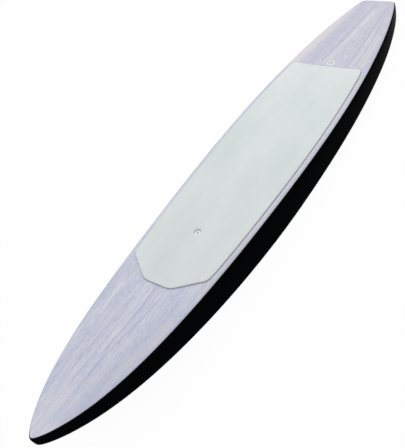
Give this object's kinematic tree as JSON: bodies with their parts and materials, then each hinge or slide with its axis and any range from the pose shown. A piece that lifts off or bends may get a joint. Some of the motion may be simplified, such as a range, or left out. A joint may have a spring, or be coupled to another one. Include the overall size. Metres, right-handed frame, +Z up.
{
  "type": "downwind foil board",
  "caption": "Long, narrow hydrofoil board with a pale wood deck, black rails and bottom, a foam deck pad, vent and leash plugs, foil tracks under the bottom and a carry handle.",
  "frame": {"origin": "on the centreline at mid length, on the plane of the flat of the bottom", "axes": "+X towards the nose, +Y to port, +Z up through the deck"},
  "size_m": [2.417, 0.457, 0.2048],
  "materials": {
    "black_laminate": "high gloss black paint over carbon laminate",
    "whitewashed_wood": "thin wood veneer, whitewashed and clear coated, satin",
    "pale_eva": "fine brushed EVA foam, pale grey green",
    "dark_eva": "EVA foam, dark grey",
    "blank_foam": "shaped EPS foam, raw",
    "sheet_foam": "PVC foam sheet, raw",
    "block_foam": "high density foam, raw",
    "black_nylon": "moulded glass filled nylon, fine texture",
    "brass": "machined, bare",
    "white_plastic": "moulded, smooth",
    "grey_plastic": "moulded, smooth, warm grey with a white rim",
    "white_membrane": "microporous film",
    "black_rubber": "moulded, matte",
    "stainless_steel": "A4 stainless, satin"
  },
  "bodies": {
    "board": {"foam_core": "blank_foam", "bottom_foam_sheet": "sheet_foam", "track_block": "block_foam", "stance_sheet": "block_foam", "vent_block": "block_foam", "leash_block": "block_foam", "deck_foam_sheet": "sheet_foam", "hull_shell": "black_laminate", "deck_skin": "whitewashed_wood", "pad_base_layer": "dark_eva", "pad_top_layer": "pale_eva", "foil_track_port": "black_nylon", "foil_track_starboard": "black_nylon", "vent_housing": "white_plastic", "vent_membrane": "white_membrane", "leash_cup": "grey_plastic", "leash_pin": "stainless_steel", "handle_tub": "black_nylon", "handle_grip": "black_rubber", "handle_screw_front": "stainless_steel", "handle_screw_rear": "stainless_steel"},
    "track_nut_port_front": {"track_nut_port_front": "brass"},
    "track_nut_port_rear": {"track_nut_port_rear": "brass"},
    "track_nut_starboard_front": {"track_nut_starboard_front": "brass"},
    "track_nut_starboard_rear": {"track_nut_starboard_rear": "brass"},
    "vent_seal": {"vent_o_ring": "black_rubber"},
    "vent_screw": {"vent_screw": "white_plastic"}
  },
  "joints": [
    {"name": "port_front_nut_slide", "type": "slide", "parent": "board", "child": "track_nut_port_front", "axis": [1, 0, 0], "range_m": [-0.056, 0.081]},
    {"name": "port_rear_nut_slide", "type": "slide", "parent": "board", "child": "track_nut_port_rear", "axis": [1, 0, 0], "range_m": [-0.081, 0.056]},
    {"name": "starboard_front_nut_slide", "type": "slide", "parent": "board", "child": "track_nut_starboard_front", "axis": [1, 0, 0], "range_m": [-0.056, 0.081]},
    {"name": "starboard_rear_nut_slide", "type": "slide", "parent": "board", "child": "track_nut_starboard_rear", "axis": [1, 0, 0], "range_m": [-0.081, 0.056]},
    {"name": "vent_rise", "type": "slide", "parent": "board", "child": "vent_seal", "axis": [-0.0437, 0, 0.999], "range_m": [0, 0.006]},
    {"name": "vent_turn", "type": "hinge", "parent": "vent_seal", "child": "vent_screw", "pos_m": [0.315, 0, 0.14405], "axis": [-0.0437, 0, 0.999], "range_deg": [0, 1440]}
  ],
  "couplings": [
    {"joint": "vent_turn", "follows": "vent_rise", "rad_per_m": 4188.8}
  ]
}
